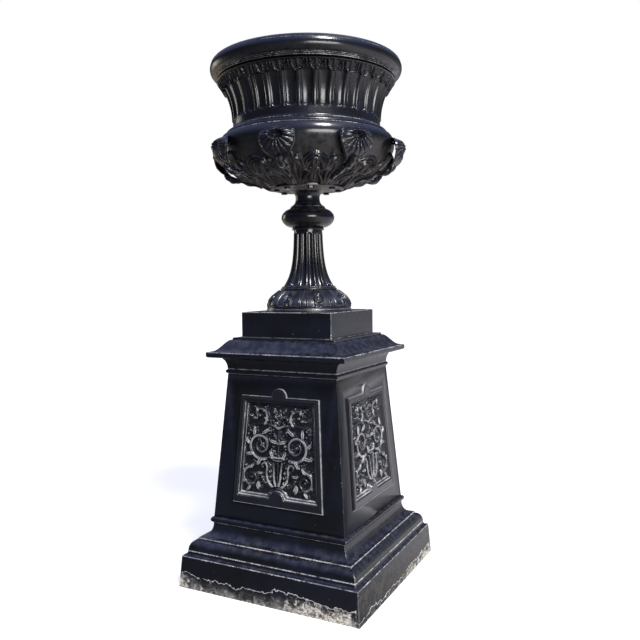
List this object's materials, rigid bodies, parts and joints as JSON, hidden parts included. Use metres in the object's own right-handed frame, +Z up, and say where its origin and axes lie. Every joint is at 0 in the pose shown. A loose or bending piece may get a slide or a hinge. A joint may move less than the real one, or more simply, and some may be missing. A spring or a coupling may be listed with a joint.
{
  "type": "garden urn on pedestal",
  "caption": "Cast iron garden urn with fluted neck, scroll handles and fluted stem, standing loose on a tapered square pedestal with relief panels.",
  "frame": {"origin": "centre of the pedestal's square foot on the ground", "axes": "+Z up, front face of the pedestal looks along -Y, +X to its right seen from the front"},
  "size_m": [0.6128, 0.6128, 1.62],
  "materials": {
    "black_paint": "gloss black paint over cast iron, fine dust and small chips",
    "panel_paint": "gloss black paint over cast relief",
    "base_paint": "gloss black paint, peeled to a pale undercoat along the foot",
    "inner_iron": "rough unpainted iron inside",
    "fastener_iron": "plain iron fasteners inside"
  },
  "bodies": {
    "pedestal": {"base_moulding": "base_paint", "shaft_plate_front": "black_paint", "shaft_plate_right": "black_paint", "shaft_plate_back": "black_paint", "shaft_plate_left": "black_paint", "relief_panel_front": "panel_paint", "relief_panel_right": "panel_paint", "relief_panel_back": "panel_paint", "relief_panel_left": "panel_paint", "cap_cornice": "black_paint", "corner_angle_1": "inner_iron", "corner_angle_2": "inner_iron", "corner_angle_3": "inner_iron", "corner_angle_4": "inner_iron", "panel_cleats": "inner_iron", "base_bolts": "fastener_iron", "base_nuts": "fastener_iron", "corner_screws": "fastener_iron", "panel_screws": "fastener_iron", "cap_bolts": "fastener_iron", "cap_nuts": "fastener_iron"},
    "urn": {"urn_block": "black_paint", "urn_foot": "black_paint", "urn_stem": "black_paint", "stem_knop": "black_paint", "neck_flange": "black_paint", "bowl_body": "black_paint", "bowl_neck": "black_paint", "bowl_rim": "black_paint", "scroll_handle_1": "black_paint", "scroll_handle_2": "black_paint", "scroll_handle_3": "black_paint", "scroll_handle_4": "black_paint", "scroll_handle_5": "black_paint", "scroll_handle_6": "black_paint", "scroll_handle_7": "black_paint", "scroll_handle_8": "black_paint", "foot_bolts": "fastener_iron", "foot_nuts": "fastener_iron", "tie_rod": "fastener_iron", "tie_rod_washers": "fastener_iron", "tie_rod_nuts": "fastener_iron", "seat_bolts": "black_paint", "seat_nuts": "fastener_iron", "seam_bolts": "fastener_iron", "seam_nuts": "fastener_iron", "rim_screws": "fastener_iron", "handle_screws": "fastener_iron"}
  },
  "joints": [
    {"name": "urn_lift", "type": "slide", "parent": "pedestal", "child": "urn", "axis": [0, 0, 1], "range_m": [0, 0.15]}
  ]
}
